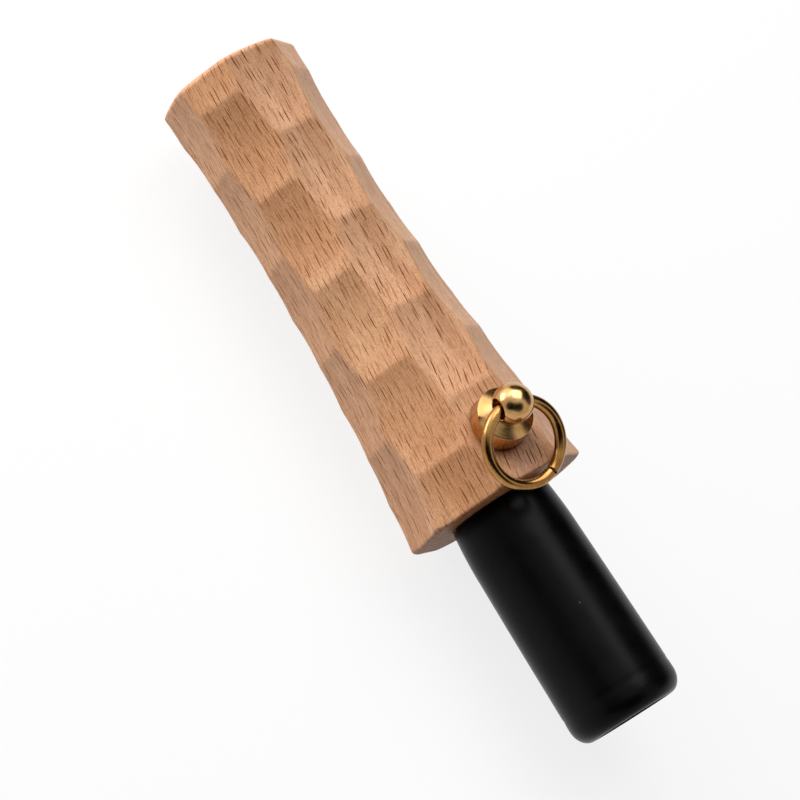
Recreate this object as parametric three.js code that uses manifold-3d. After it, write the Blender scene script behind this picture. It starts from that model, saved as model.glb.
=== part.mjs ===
// Faceted beech whistle: a scooped wooden barrel, a black push-in mouthpiece that holds a reed unit,
// and a brass ring stud screwed to the barrel.
// Millimetres. X runs along the bore towards the mouthpiece, Z up through the stud.
// While the pieces are made, x = 0 is the barrel's mouth end and the bore lies on y = z = 0.

import * as THREE from 'three';
import { mergeVertices } from 'three/addons/utils/BufferGeometryUtils.js';
import Module from 'manifold-3d';

const wasm = await Module();
wasm.setup();

// Clearances
const seatGap = 0.3;
const sealGap = 0.15;
const cutMargin = 2;
const joinOverlap = 1;

// Wooden barrel: eight rows of scooped facets on a waisted, flared blank
const barrelLength = 88;
const rowCount = 8;
const waistPlace = -64.6;
const waistRadius = 11.8;
const mouthEndRadius = 16;
const farEndRadius = 12.6;
const scoopPitch = 18;
const scoopDepth = 0.75;
const studRowRidge = -17.8;
const nextRowRidge = -9.6;
const cornerEase = 1.1;
const socketFloorGap = 1.5;
const chamberRadius = 7;
const bellLength = 18;
const bellRadius = 9.4;
const socketLeadIn = 0.5;

// Mouthpiece tube
const tubeLength = 42;
const tubeNeckRadius = 9.05;
const tubeShoulderRadius = 9.68;
const tubeShoulderLength = 10;
const shoulderCurvePlace = 6;
const bodyCurvePlace = 20;
const lipBulgeRadius = 10.2;
const lipRounding = 3.4;
const lipOpeningRadius = 7.2;
const lipInnerEase = 0.4;
const tubeBoreRadius = 6.2;
const lipFunnelLength = 12;
const tenonRadius = 8.3;
const tenonLength = 23;
const sealSection = 1.2;
const frontSealSetback = 6.2;
const rearSealSetback = 4.4;

// Reed unit pushed into the inner end of the mouthpiece
const flangeThickness = 1.2;
const plugLength = 10;
const boardLength = 30;
const boardWidth = 9.8;
const boardTop = 0.6;
const boardTipDrop = 1.6;
const boardFlatLength = 6;
const troughWidth = 4;
const troughDepth = 4;
const troughEndWall = 4;
const reedThickness = 0.35;
const reedWidth = 8.8;
const reedTipSetback = 0.8;
const wedgeSlotEndWall = 1.6;
const wedgeWidth = 8.4;

// Brass ring stud
const studPlace = -9.9;
const studTilt = 5;
const studBaseRadius = 4.85;
const studBaseHeight = 4.3;
const studRimBevel = 0.15;
const studConeTop = 5.4;
const studNeckRadius = 2.65;
const ballRadius = 3.5;
const ballHeight = 7.9;
const ringHoleHeight = 7.7;
const ringHoleRadius = 1.8;
const ringHoleFlare = 0.25;
const ringHoleYaw = 5;
const studThreadDepth = 3.6;

// Screw that holds the stud from inside the socket
const screwRadius = 1.35;
const screwHeadRadius = 2.75;
const screwHeadHeight = 1.1;
const screwSlotWidth = 0.7;
const screwSlotDepth = 0.5;
const screwTipGap = 0.5;

// Wire ring
const ringRadius = 7;
const ringWireRadius = 1;
const ringSlope = 28;
const ringJoinAngle = 29;
const ringJoinGap = 0.3;

// Facets per turn or per curve
const roundSides = 48;
const boreSides = 40;
const scoopSteps = 8;
const arcSteps = 6;
const ringSteps = 72;
const wireQuarterSteps = 7;
const weldDistance = 1e-5;
const sameSpot = 1e-4;

// The socket takes the tenon and the reed unit's flange, and the seals keep their place on the tenon
const socketDepth = tenonLength + seatGap + flangeThickness + socketFloorGap;
const sealPlaces = [-frontSealSetback, -tenonLength + rearSealSetback];

const finishes = {
  beech: { color: '#c8946a', roughness: 0.62, metalness: 0 },
  blackTube: { color: '#121214', roughness: 0.42, metalness: 0 },
  rubber: { color: '#1d1d1f', roughness: 0.75, metalness: 0 },
  smokedAcrylic: { color: '#3b2f26', roughness: 0.3, metalness: 0 },
  reedFilm: { color: '#e6e2d4', roughness: 0.35, metalness: 0 },
  cork: { color: '#b98a58', roughness: 0.9, metalness: 0 },
  brass: { color: '#b8924a', roughness: 0.28, metalness: 1 },
  steel: { color: '#9a9c9e', roughness: 0.35, metalness: 1 },
};

const degrees = THREE.MathUtils.degToRad;

// A solid for cutting and joining, from a closed three.js geometry
function solid(geometry, matrix) {
  const bare = geometry.clone();
  if (matrix) bare.applyMatrix4(matrix);
  bare.deleteAttribute('normal');
  bare.deleteAttribute('uv');
  const merged = mergeVertices(bare, weldDistance);
  return new wasm.Manifold(new wasm.Mesh({
    numProp: 3,
    vertProperties: new Float32Array(merged.attributes.position.array),
    triVerts: new Uint32Array(merged.index.array),
  }));
}

function named(name, body, finish) {
  const mesh = body.getMesh();
  const geometry = new THREE.BufferGeometry();
  geometry.setAttribute('position', new THREE.BufferAttribute(mesh.vertProperties.slice(), 3));
  geometry.setIndex(new THREE.BufferAttribute(mesh.triVerts.slice(), 1));
  const part = new THREE.Mesh(geometry, new THREE.MeshStandardMaterial(finishes[finish]));
  part.name = name;
  return part;
}

// A turned solid along X from a closed outline of (x, radius)
function turned(path, sides) {
  const points = path.getPoints(arcSteps).map((p) => new THREE.Vector2(p.y, p.x));
  const unique = points.filter((p, i) => i === 0 || p.distanceTo(points[i - 1]) > sameSpot);
  if (unique[0].distanceTo(unique[unique.length - 1]) < sameSpot) unique.pop();
  unique.push(unique[0].clone());
  if (THREE.ShapeUtils.isClockWise(unique)) unique.reverse();
  const geometry = new THREE.LatheGeometry(unique, sides);
  return solid(geometry, new THREE.Matrix4().makeRotationZ(-Math.PI / 2));
}

// A plain rod along X between two places
function rod(from, to, radius, sides = boreSides) {
  const geometry = new THREE.CylinderGeometry(radius, radius, to - from, sides);
  const matrix = new THREE.Matrix4().makeTranslation((from + to) / 2, 0, 0);
  matrix.multiply(new THREE.Matrix4().makeRotationZ(-Math.PI / 2));
  return solid(geometry, matrix);
}

function block(x, y, z) {
  const geometry = new THREE.BoxGeometry(x[1] - x[0], y[1] - y[0], z[1] - z[0]);
  const middle = [(x[0] + x[1]) / 2, (y[0] + y[1]) / 2, (z[0] + z[1]) / 2];
  return solid(geometry, new THREE.Matrix4().makeTranslation(...middle));
}

// Distance from the bore's axis to the ridges between scoops, before they are cut
function blankRadius(x) {
  const towardMouth = x > waistPlace;
  const endRadius = towardMouth ? mouthEndRadius : farEndRadius;
  const reach = towardMouth ? -waistPlace : -barrelLength - waistPlace;
  return waistRadius + (endRadius - waistRadius) * ((x - waistPlace) / reach) ** 2;
}

// The ridges of one row, from past the mouth end to past the far end
function rowRidges(firstRidge) {
  const ridges = [];
  for (let x = firstRidge + scoopPitch; x > -barrelLength - scoopPitch; x -= scoopPitch) ridges.push(x);
  return ridges;
}

// The height of a scoop's chord and hollow above the bore's axis
function scoopHeight(x, firstRidge) {
  const ridges = rowRidges(firstRidge);
  const index = ridges.findIndex((ridge, i) => x <= ridge && x >= ridges[i + 1]);
  const share = (ridges[index] - x) / scoopPitch;
  const chord = THREE.MathUtils.lerp(blankRadius(ridges[index]), blankRadius(ridges[index + 1]), share);
  return chord - 4 * scoopDepth * share * (1 - share);
}

// Everything under one row of scoops: flat across, hollow along the barrel
function rowSolid(index) {
  const ridges = rowRidges(index % 2 === 0 ? studRowRidge : nextRowRidge);
  const reach = 2 * mouthEndRadius;
  const outline = new THREE.Shape();
  outline.moveTo(ridges[0], -reach);
  outline.lineTo(ridges[0], blankRadius(ridges[0]));
  for (let i = 1; i < ridges.length; i += 1) {
    const from = ridges[i - 1];
    const to = ridges[i];
    const chord = (blankRadius(from) + blankRadius(to)) / 2;
    outline.quadraticCurveTo((from + to) / 2, chord - 2 * scoopDepth, to, blankRadius(to));
  }
  outline.lineTo(ridges[ridges.length - 1], -reach);
  outline.closePath();
  const geometry = new THREE.ExtrudeGeometry(outline, {
    depth: 2 * reach, bevelEnabled: false, curveSegments: scoopSteps,
  });
  geometry.translate(0, 0, -reach);
  const upright = new THREE.Matrix4().makeRotationX(Math.PI / 2);
  const turn = new THREE.Matrix4().makeRotationX((index * 2 * Math.PI) / rowCount);
  return solid(geometry, turn.multiply(upright));
}

// A round blank whose ends just take the points off the eight corners
function barrelBlank() {
  const corner = 1 / Math.cos(Math.PI / rowCount);
  const mouthCorner = mouthEndRadius * corner;
  const farCorner = farEndRadius * corner;
  const outline = new THREE.Path();
  outline.moveTo(-barrelLength, 0);
  outline.lineTo(-barrelLength, farCorner - cornerEase);
  outline.lineTo(-barrelLength + cornerEase, farCorner);
  outline.lineTo(-barrelLength + 2 * cornerEase, mouthCorner + cornerEase);
  outline.lineTo(-2 * cornerEase, mouthCorner + cornerEase);
  outline.lineTo(-cornerEase, mouthCorner);
  outline.lineTo(0, mouthCorner - cornerEase);
  outline.lineTo(0, 0);
  return turned(outline, roundSides);
}

// Mouthpiece socket, sound chamber and bell, as one cutter
function boreCutter() {
  const socketRadius = tenonRadius + seatGap;
  const bellStart = -barrelLength + bellLength;
  const outline = new THREE.Path();
  outline.moveTo(cutMargin, 0);
  outline.lineTo(cutMargin, socketRadius + socketLeadIn);
  outline.lineTo(0, socketRadius + socketLeadIn);
  outline.lineTo(-socketLeadIn, socketRadius);
  outline.lineTo(-socketDepth, socketRadius);
  outline.lineTo(-socketDepth, chamberRadius);
  outline.lineTo(bellStart, chamberRadius);
  outline.quadraticCurveTo(-barrelLength + bellLength / 3, chamberRadius, -barrelLength, bellRadius);
  outline.lineTo(-barrelLength - cutMargin, bellRadius);
  outline.lineTo(-barrelLength - cutMargin, 0);
  return turned(outline, boreSides);
}

// The stud's own frame: foot on the facet's hollow, leaning to the far end with the flared facet
const studFoot = scoopHeight(studPlace, studRowRidge);
const studFrame = new THREE.Matrix4().makeTranslation(studPlace, 0, studFoot)
  .multiply(new THREE.Matrix4().makeRotationY(degrees(-studTilt)));

// A turned solid round the stud's axis, from an outline of (radius, height above the foot)
function turnedOnStud(outline, sides) {
  const points = outline.getPoints(arcSteps);
  const unique = points.filter((p, i) => i === 0 || p.distanceTo(points[i - 1]) > sameSpot);
  if (THREE.ShapeUtils.isClockWise(unique)) unique.reverse();
  const geometry = new THREE.LatheGeometry(unique, sides);
  const upright = new THREE.Matrix4().makeRotationX(Math.PI / 2);
  return solid(geometry, studFrame.clone().multiply(upright));
}

function studRod(from, to, radius) {
  const outline = new THREE.Path();
  outline.moveTo(0, from);
  outline.lineTo(radius, from);
  outline.lineTo(radius, to);
  outline.lineTo(0, to);
  return turnedOnStud(outline, boreSides);
}

// The screw's head lies below the socket's wall, in a pocket whose floor is this high above the foot
const headBottom = tenonRadius + 2 * seatGap - studFoot;
const pocketFloor = headBottom + screwHeadHeight + seatGap;

function makeBarrel() {
  let body = barrelBlank();
  for (let index = 0; index < rowCount; index += 1) body = body.intersect(rowSolid(index));
  body = body.subtract(boreCutter());
  const seat = studRod(0, studBaseHeight, studBaseRadius + seatGap);
  const screwHole = studRod(-studFoot, cutMargin, screwRadius + seatGap);
  const pocket = studRod(-studFoot, pocketFloor, screwHeadRadius + seatGap);
  body = body.subtract(seat).subtract(screwHole).subtract(pocket);
  return named('barrel', body, 'beech');
}

function makeMouthpiece() {
  const inner = -tenonLength;
  const bulgePlace = tubeLength - lipRounding;
  const crownRadius = lipOpeningRadius + lipInnerEase;
  const midRadius = (tubeShoulderRadius + lipBulgeRadius) / 2;
  const outline = new THREE.Path();
  outline.moveTo(inner, tubeBoreRadius);
  outline.lineTo(inner, tenonRadius - seatGap);
  outline.lineTo(inner + seatGap, tenonRadius);
  outline.lineTo(seatGap, tenonRadius);
  outline.lineTo(seatGap, tubeNeckRadius - seatGap);
  outline.lineTo(2 * seatGap, tubeNeckRadius);
  outline.quadraticCurveTo(
    shoulderCurvePlace, tubeShoulderRadius, tubeShoulderLength, tubeShoulderRadius);
  outline.quadraticCurveTo(bodyCurvePlace, midRadius, bulgePlace, lipBulgeRadius);
  outline.absellipse(
    bulgePlace, crownRadius, lipRounding, lipBulgeRadius - crownRadius, Math.PI / 2, 0, true);
  outline.lineTo(tubeLength - lipInnerEase, lipOpeningRadius);
  outline.lineTo(tubeLength - lipFunnelLength, tubeBoreRadius);
  outline.lineTo(inner, tubeBoreRadius);
  let body = turned(outline, roundSides);
  for (const place of sealPlaces) {
    const halfGroove = sealSection / 2 + sealGap;
    const band = rod(place - halfGroove, place + halfGroove, tenonRadius + cutMargin);
    const core = rod(place - 2 * halfGroove, place + 2 * halfGroove, sealCoreRadius() - sealGap);
    body = body.subtract(band.subtract(core));
  }
  return named('mouthpiece', body, 'blackTube');
}

// Inner radius of a seal that just clears the socket's wall
function sealCoreRadius() {
  return tenonRadius + seatGap - sealGap - sealSection;
}

function makeSeal(name, place) {
  const path = new THREE.Path();
  path.absarc(place, sealCoreRadius() + sealSection / 2, sealSection / 2, 0, 2 * Math.PI);
  return named(name, turned(path, roundSides), 'rubber');
}

// Plug, flange and tone board in one moulding, with the trough that carries the sound to the bore
function makeToneBoard() {
  const flangeFace = -tenonLength - seatGap;
  const plugEnd = flangeFace + plugLength;
  const boardEnd = plugEnd + boardLength;
  const plugRadius = tubeBoreRadius - seatGap;
  const halfWidth = boardWidth / 2;
  const flange = rod(flangeFace - flangeThickness, flangeFace, tenonRadius - seatGap);
  const plug = rod(flangeFace - flangeThickness, plugEnd, plugRadius);
  const boardStart = plugEnd - joinOverlap;
  const underTop = block([boardStart, boardEnd], [-halfWidth, halfWidth], [-plugRadius, boardTop]);
  const board = rod(boardStart, boardEnd, plugRadius).intersect(underTop);
  const tipStart = plugEnd + boardFlatLength;
  const tip = new THREE.Shape();
  tip.moveTo(tipStart, boardTop);
  tip.quadraticCurveTo((tipStart + boardEnd) / 2, boardTop, boardEnd, boardTop - boardTipDrop);
  tip.lineTo(boardEnd + cutMargin, boardTop - boardTipDrop);
  tip.lineTo(boardEnd + cutMargin, boardTop + cutMargin);
  tip.lineTo(tipStart, boardTop + cutMargin);
  tip.closePath();
  const tipCut = new THREE.ExtrudeGeometry(tip, {
    depth: 2 * boardWidth, bevelEnabled: false, curveSegments: scoopSteps,
  });
  tipCut.translate(0, 0, -boardWidth);
  const tipCutter = solid(tipCut, new THREE.Matrix4().makeRotationX(Math.PI / 2));
  const trough = block(
    [flangeFace - flangeThickness - cutMargin, boardEnd - troughEndWall],
    [-troughWidth / 2, troughWidth / 2], [boardTop - troughDepth, boardTop + seatGap]);
  const slot = block(
    [flangeFace + wedgeSlotEndWall, plugEnd + cutMargin],
    [-halfWidth, halfWidth], [boardTop, plugRadius + cutMargin]);
  const body = flange.add(plug).add(board).subtract(tipCutter).subtract(trough).subtract(slot);
  return named('tone_board', body, 'smokedAcrylic');
}

function reedSpan() {
  const clampEnd = -tenonLength - seatGap + plugLength;
  return {
    root: -tenonLength + wedgeSlotEndWall,
    clampEnd,
    tip: clampEnd + boardLength - reedTipSetback,
  };
}

function makeReed() {
  const { root, tip } = reedSpan();
  const half = reedWidth / 2;
  const outline = new THREE.Shape();
  outline.moveTo(root, -half);
  outline.lineTo(tip - half, -half);
  outline.absarc(tip - half, 0, half, -Math.PI / 2, Math.PI / 2, false);
  outline.lineTo(root, half);
  outline.closePath();
  const geometry = new THREE.ExtrudeGeometry(outline, {
    depth: reedThickness, bevelEnabled: false, curveSegments: scoopSteps,
  });
  const lifted = new THREE.Matrix4().makeTranslation(0, 0, boardTop + seatGap);
  return named('reed', solid(geometry, lifted), 'reedFilm');
}

function makeWedge() {
  const { root, clampEnd } = reedSpan();
  const floor = boardTop + seatGap + reedThickness + seatGap;
  const length = [root, clampEnd - seatGap];
  const dome = rod(length[0], length[1], tubeBoreRadius - 2 * seatGap);
  const bounds = block(length, [-wedgeWidth / 2, wedgeWidth / 2], [floor, tubeBoreRadius]);
  return named('cork_wedge', dome.intersect(bounds), 'cork');
}

// Round base, shallow cone, a short neck and a ball that the ring's hole crosses
function makeStud() {
  const ballFoot = ballHeight - Math.sqrt(ballRadius ** 2 - studNeckRadius ** 2);
  const startAngle = Math.atan2(ballFoot - ballHeight, studNeckRadius);
  const outline = new THREE.Path();
  outline.moveTo(0, seatGap);
  outline.lineTo(studBaseRadius, seatGap);
  outline.lineTo(studBaseRadius, studBaseHeight - studRimBevel);
  outline.lineTo(studBaseRadius - studRimBevel, studBaseHeight);
  outline.lineTo(studNeckRadius, studConeTop);
  outline.lineTo(studNeckRadius, ballFoot);
  outline.absarc(0, ballHeight, ballRadius, startAngle, Math.PI / 2, false);
  const thread = studRod(0, seatGap + studThreadDepth, screwRadius + seatGap);
  const body = turnedOnStud(outline, roundSides).subtract(thread).subtract(ringHoleCutter());
  return named('ring_stud', body, 'brass');
}

// Half the length of the ring's hole, from the ball's middle to the hole's mouth
const ringHoleReach = Math.sqrt(ballRadius ** 2 - ringHoleRadius ** 2);

// Frame of the ring's hole: Y along the hole, X towards the mouth end, in the stud's frame
const holeFrame = studFrame.clone()
  .multiply(new THREE.Matrix4().makeTranslation(0, 0, ringHoleHeight))
  .multiply(new THREE.Matrix4().makeRotationZ(degrees(-ringHoleYaw)));

function ringHoleCutter() {
  const reach = ballRadius + cutMargin;
  const outline = new THREE.Path();
  outline.moveTo(0, -reach);
  outline.lineTo(ringHoleRadius + ringHoleFlare + cutMargin, -reach);
  outline.lineTo(ringHoleRadius, -ringHoleReach + ringHoleFlare);
  outline.lineTo(ringHoleRadius, ringHoleReach - ringHoleFlare);
  outline.lineTo(ringHoleRadius + ringHoleFlare + cutMargin, reach);
  outline.lineTo(0, reach);
  const points = outline.getPoints();
  if (THREE.ShapeUtils.isClockWise(points)) points.reverse();
  return solid(new THREE.LatheGeometry(points, boreSides), holeFrame);
}

function makeStudScrew() {
  const tip = seatGap + studThreadDepth - screwTipGap;
  const head = studRod(headBottom, headBottom + screwHeadHeight, screwHeadRadius);
  const shank = studRod(headBottom, tip, screwRadius);
  const slotLength = 2 * (screwHeadRadius + cutMargin);
  const slot = new THREE.BoxGeometry(slotLength, screwSlotWidth, 2 * screwSlotDepth);
  slot.translate(0, 0, headBottom);
  return named('stud_screw', head.add(shank).subtract(solid(slot, studFrame)), 'steel');
}

// A circle in the ring's plane, left open at the join
class RingPath extends THREE.Curve {
  getPoint(share, target = new THREE.Vector3()) {
    const halfGap = ringJoinGap / 2 / ringRadius;
    const start = degrees(ringJoinAngle) + halfGap;
    const angle = start + share * (2 * Math.PI - 2 * halfGap);
    return target.set(ringRadius * (1 + Math.cos(angle)), ringRadius * Math.sin(angle), 0);
  }
}

function makeRing() {
  const section = new THREE.Shape();
  section.absarc(0, 0, ringWireRadius, 0, 2 * Math.PI);
  const geometry = new THREE.ExtrudeGeometry(section, {
    steps: ringSteps,
    curveSegments: wireQuarterSteps,
    bevelEnabled: false,
    extrudePath: new RingPath(),
  });
  const sagInHole = ringRadius - Math.sqrt(ringRadius ** 2 - ringHoleReach ** 2);
  const matrix = holeFrame.clone()
    .multiply(new THREE.Matrix4().makeRotationY(degrees(ringSlope)))
    .multiply(new THREE.Matrix4().makeTranslation(-sagInHole / 2, 0, 0));
  return named('split_ring', solid(geometry, matrix), 'brass');
}

const whistle = new THREE.Group();
whistle.add(makeBarrel());
whistle.add(makeMouthpiece());
whistle.add(makeSeal('front_o_ring', sealPlaces[0]));
whistle.add(makeSeal('rear_o_ring', sealPlaces[1]));
whistle.add(makeToneBoard());
whistle.add(makeReed());
whistle.add(makeWedge());
whistle.add(makeStud());
whistle.add(makeStudScrew());
whistle.add(makeRing());

// The origin is the middle of the bottom of the box round the whole whistle
const box = new THREE.Box3().setFromObject(whistle, true);
const middle = box.getCenter(new THREE.Vector3());
whistle.position.set(-middle.x, -middle.y, -box.min.z);

export default whistle;
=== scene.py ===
"""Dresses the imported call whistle: a scooped beech barrel, a black tube, a brass stud and its ring.

The pieces are made in millimetres, with x = 0 at the barrel's mouth end and the bore on y = z = 0,
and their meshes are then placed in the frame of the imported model.
"""

import math

import bmesh
import bpy
from mathutils import Matrix, Vector


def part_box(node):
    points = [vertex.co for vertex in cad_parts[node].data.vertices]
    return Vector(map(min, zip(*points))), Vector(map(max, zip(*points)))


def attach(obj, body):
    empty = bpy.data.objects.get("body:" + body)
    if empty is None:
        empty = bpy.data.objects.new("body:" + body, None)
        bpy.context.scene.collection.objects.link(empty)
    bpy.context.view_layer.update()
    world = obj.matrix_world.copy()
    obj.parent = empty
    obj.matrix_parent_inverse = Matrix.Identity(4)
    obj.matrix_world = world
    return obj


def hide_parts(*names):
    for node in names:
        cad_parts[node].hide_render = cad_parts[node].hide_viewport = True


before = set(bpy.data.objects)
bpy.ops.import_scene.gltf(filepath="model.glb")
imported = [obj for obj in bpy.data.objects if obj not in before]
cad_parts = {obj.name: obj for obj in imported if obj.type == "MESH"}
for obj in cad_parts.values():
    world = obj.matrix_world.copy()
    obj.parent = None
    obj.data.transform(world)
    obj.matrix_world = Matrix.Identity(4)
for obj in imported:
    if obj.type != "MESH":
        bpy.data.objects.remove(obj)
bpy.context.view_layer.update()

MM = 0.001

# Barrel
barrel_length = 88
row_count = 8
waist_place = -64.6
waist_radius = 11.8
mouth_end_radius = 16
far_end_radius = 12.6
scoop_pitch = 18
scoop_depth = 0.75
stud_row_ridge = -17.8
next_row_ridge = -9.6
ridge_softness = 0.22
corner_softness = 0.55
corner_ease = 1.1
mouth_end_rounding = 0.45
far_end_rounding = 1.0
socket_depth = 26
socket_radius = 8.6
socket_lead_in = 0.5
chamber_radius = 7
bell_length = 18
bell_curve_place = 6
bell_radius = 9.4
bell_lip_rounding = 0.5
bell_lip_turn = 70

# Mouthpiece tube
tube_length = 42
tube_neck_radius = 9.05
tube_neck_rounding = 0.3
tube_shoulder_radius = 9.68
tube_shoulder_length = 10
shoulder_curve_place = 6
body_curve_place = 20
lip_bulge_radius = 10.2
lip_rounding = 3.4
lip_opening_radius = 7.2
lip_inner_ease = 0.4
tube_bore_radius = 6.2
lip_funnel_length = 12
tenon_radius = 8.3
tenon_length = 23
tenon_bevel = 0.3
seat_gap = 0.3
groove_floor_radius = 7.1
groove_half_width = 0.75
seal_places = (-6.2, -18.6)
lip_line_place = 36.6
lip_line_width = 0.25
lip_line_depth = 0.1

# Brass stud, its screw hole and its ring
stud_place = -9.9
stud_tilt = 5
stud_base_radius = 4.85
stud_base_height = 4.3
stud_foot_bevel = 0.1
stud_rim_bevel = 0.15
stud_cone_top = 5.4
stud_neck_radius = 2.65
ball_radius = 3.5
ball_height = 7.9
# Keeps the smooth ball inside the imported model's faceted one
ball_inset = 0.03
ring_hole_height = 7.7
ring_hole_radius = 1.8
ring_hole_flare = 0.25
ring_hole_yaw = 5
screw_hole_radius = 1.65
screw_hole_depth = 3.9
screw_pocket_radius = 3.05
screw_pocket_floor = -3.55
cutter_overshoot = 2
ring_radius = 7
ring_wire_radius = 1
ring_slope = 28
ring_join_angle = 29
ring_join_gap = 0.3
ring_end_bevel = 0.12

# How finely the meshes are divided
barrel_segments = 240
barrel_steps = 250
tube_segments = 192
tube_steps = 60
stud_segments = 160
ball_steps = 40
cutter_segments = 96
ring_steps = 180
wire_segments = 40
curve_steps = 14
bevel_steps = 5
ring_bevel_steps = 3
# Points nearer to each other than this are joined
merge_distance = 1e-4

# Edges that turn more than this many degrees are shaded sharp
barrel_sharp_angle = 40
tube_sharp_angle = 30
stud_sharp_angle = 32
ring_sharp_angle = 50
# The edges round the wire's cut ends turn more than this
ring_end_angle = 60

# Where the design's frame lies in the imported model
mouthpiece_low, mouthpiece_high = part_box("mouthpiece")
bore_height = (mouthpiece_low.z + mouthpiece_high.z) / 2
wood_face = mouthpiece_high.x - tube_length * MM
to_row = Matrix.Translation((wood_face, 0, bore_height)) @ Matrix.Scale(MM, 4)


# Small tools


def srgb(code):
    channels = [int(code[i : i + 2], 16) / 255 for i in (1, 3, 5)]
    linear = [c / 12.92 if c <= 0.04045 else ((c + 0.055) / 1.055) ** 2.4 for c in channels]
    return (*linear, 1)


def cell(size):
    """The scale that gives a pattern cells of this size in millimetres."""
    return 1 / (size * MM)


def cells(*sizes):
    """The same for sizes along x, y and z."""
    return tuple(cell(size) for size in sizes)


def in_use(sockets, name=None):
    """The first socket in use, or the first one in use that has this name."""
    return next(s for s in sockets if s.enabled and name in (None, s.name))


def add(tree, kind, inputs=None, to=None, stops=(), **settings):
    """Adds a node with its settings and links.

    An input is a value, a socket, or a node whose first output in use is meant. The socket given as
    `to` is fed by the node, and the stops are a colour ramp's places and colours.
    """
    node = tree.nodes.new(kind)
    for name, value in settings.items():
        setattr(node, name, value)
    for key, value in (inputs or {}).items():
        target = node.inputs[key] if isinstance(key, int) else in_use(node.inputs, key)
        if isinstance(value, bpy.types.Node):
            value = in_use(value.outputs)
        if isinstance(value, bpy.types.NodeSocket):
            tree.links.new(value, target)
        else:
            target.default_value = value
    for _ in stops[2:]:
        node.color_ramp.elements.new(0.5)
    for i, (place, colour) in enumerate(stops):
        node.color_ramp.elements[i].position = place
        node.color_ramp.elements[i].color = srgb(colour)
    if to:
        tree.links.new(in_use(node.outputs), to)
    return node


def arc(centre, radius, start, end, steps):
    """Points on an arc in the (x, radius) plane, angles in degrees."""
    points = []
    for i in range(steps + 1):
        angle = math.radians(start + (end - start) * i / steps)
        points.append((centre[0] + radius * math.cos(angle), centre[1] + radius * math.sin(angle)))
    return points


def curve(start, control, end, steps):
    """Points after the start on a curve that a control point pulls aside."""
    points = []
    for i in range(1, steps + 1):
        t = i / steps
        weights = ((1 - t) ** 2, 2 * t * (1 - t), t * t)
        x, radius = (sum(w * p[k] for w, p in zip(weights, (start, control, end))) for k in (0, 1))
        points.append((x, radius))
    return points


def line(start, end, steps):
    """Points after the start on a straight line."""
    return [tuple(start[k] + (end[k] - start[k]) * i / steps for k in (0, 1)) for i in range(1, steps + 1)]


def spun(outline, segments):
    """A closed solid turned about X from (x, radius) points; a radius of 0 makes a pole."""
    mesh = bmesh.new()
    rings = []
    for x, radius in outline:
        if radius < merge_distance:
            rings.append([mesh.verts.new((x, 0, 0))])
            continue
        turns = [2 * math.pi * i / segments for i in range(segments)]
        rings.append([mesh.verts.new((x, radius * math.cos(t), radius * math.sin(t))) for t in turns])
    pairs = list(zip(rings, rings[1:]))
    if len(rings[0]) > 1:
        pairs.append((rings[-1], rings[0]))
    for first, second in pairs:
        for i in range(segments):
            j = (i + 1) % segments
            corners = [first[i % len(first)], first[j % len(first)]]
            corners += [second[j % len(second)], second[i % len(second)]]
            mesh.faces.new(dict.fromkeys(corners))
    bmesh.ops.recalc_face_normals(mesh, faces=mesh.faces)
    return mesh


def mesh_object(name, mesh):
    data = bpy.data.meshes.new(name)
    mesh.to_mesh(data)
    mesh.free()
    made = bpy.data.objects.new(name, data)
    bpy.context.scene.collection.objects.link(made)
    return made


def settle(made):
    """Turns an object with live modifiers into a plain mesh."""
    graph = bpy.context.evaluated_depsgraph_get()
    data = bpy.data.meshes.new_from_object(made.evaluated_get(graph))
    made.modifiers.clear()
    made.data = data


def cut(made, cutter):
    """Takes the cutter's solid out of the piece and deletes the cutter."""
    boolean = made.modifiers.new("cut", "BOOLEAN")
    boolean.operation = "DIFFERENCE"
    boolean.solver = "EXACT"
    boolean.object = cutter
    settle(made)
    bpy.data.objects.remove(cutter)


def smooth(made, sharp_angle):
    """Shades a piece smoothly but for the edges that turn more than an angle in degrees."""
    mesh = bmesh.new()
    mesh.from_mesh(made.data)
    bmesh.ops.remove_doubles(mesh, verts=mesh.verts, dist=merge_distance)
    for face in mesh.faces:
        face.smooth = True
    for edge in mesh.edges:
        edge.smooth = edge.calc_face_angle(0) < math.radians(sharp_angle)
    mesh.to_mesh(made.data)
    mesh.free()


def place(made, material, body, slot, node):
    """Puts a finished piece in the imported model's frame, on its body, in place of its node."""
    made.data.transform(to_row)
    made.data.materials.clear()
    made.data.materials.append(material)
    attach(made, body)
    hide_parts(node)


# Geometry node trees


def rule_tree(name, sizes):
    """A geometry node tree with a named input for each size, and the node that gives them."""
    tree = bpy.data.node_groups.new(name, "GeometryNodeTree")
    tree.interface.new_socket("Geometry", in_out="INPUT", socket_type="NodeSocketGeometry")
    for label in sizes:
        tree.interface.new_socket(label, in_out="INPUT", socket_type="NodeSocketFloat")
    tree.interface.new_socket("Geometry", in_out="OUTPUT", socket_type="NodeSocketGeometry")
    return tree, add(tree, "NodeGroupInput")


def close_tree(tree, geometry, material):
    real = add(tree, "GeometryNodeRealizeInstances", {0: geometry})
    painted = add(tree, "GeometryNodeSetMaterial", {"Geometry": real, "Material": material})
    add(tree, "NodeGroupOutput", {0: painted})


def apply_tree(made, tree, sizes):
    """Runs a geometry node tree on an object and keeps the plain mesh."""
    modifier = made.modifiers.new("made by rule", "NODES")
    modifier.node_group = tree
    for item in tree.interface.items_tree:
        if item.in_out == "INPUT" and item.name in sizes:
            modifier[item.identifier] = sizes[item.name]
    settle(made)


# Materials


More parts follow.
